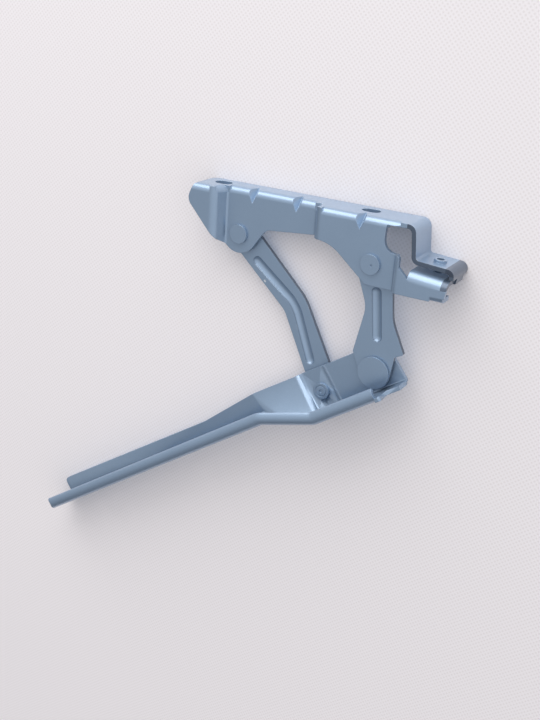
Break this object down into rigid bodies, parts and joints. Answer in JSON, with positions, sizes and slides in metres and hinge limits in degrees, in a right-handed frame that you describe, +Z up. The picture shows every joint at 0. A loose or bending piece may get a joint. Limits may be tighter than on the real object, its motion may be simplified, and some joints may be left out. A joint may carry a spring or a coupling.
{
  "type": "car bonnet hinge",
  "caption": "Left-hand car bonnet hinge: a painted pressed-steel body bracket and a long hood arm joined by riveted curved and straight links, part open.",
  "frame": {"origin": "midway between the two body slots, on the seat face of the body flange", "axes": "+X forward along the body flange, +Y outboard, +Z up; the body flange's seat face looks down -Z"},
  "size_m": [0.3263, 0.0439, 0.3039],
  "materials": {
    "body_paint": "glossy blue-grey metallic",
    "rivet_paint": "glossy blue-grey metallic over formed rivet heads",
    "bush": "sintered bronze",
    "zinc": "zinc plated"
  },
  "bodies": {
    "bracket": {"body_bracket": "body_paint", "front_body_rivet": "rivet_paint", "rear_body_rivet": "rivet_paint", "front_body_washer": "zinc", "rear_body_washer": "zinc"},
    "front_link": {"front_link": "body_paint", "front_body_bush": "bush", "front_arm_bush": "bush"},
    "rear_link": {"rear_link": "body_paint", "rear_body_bush": "bush"},
    "arm": {"hood_arm": "body_paint", "front_arm_rivet": "rivet_paint", "rear_arm_rivet": "rivet_paint", "front_arm_washer": "zinc", "rear_arm_spacer": "zinc"}
  },
  "joints": [
    {"name": "front_link_swing", "type": "hinge", "parent": "bracket", "child": "front_link", "pos_m": [0.0395, 0, 0.033], "axis": [0, 1, 0], "range_deg": [-30, 5]},
    {"name": "arm_swing", "type": "hinge", "parent": "front_link", "child": "arm", "pos_m": [-0.0365, 0, 0.1345], "axis": [0, 1, 0], "range_deg": [-10, 60]},
    {"name": "rear_link_swing", "type": "hinge", "parent": "bracket", "child": "rear_link", "pos_m": [-0.0685, 0, 0.031], "axis": [0, 1, 0], "range_deg": [-45.3, 7.6]}
  ],
  "couplings": [
    {"joint": "arm_swing", "follows": "front_link_swing", "ratio": -2},
    {"joint": "rear_link_swing", "follows": "front_link_swing", "ratio": 1.507}
  ]
}
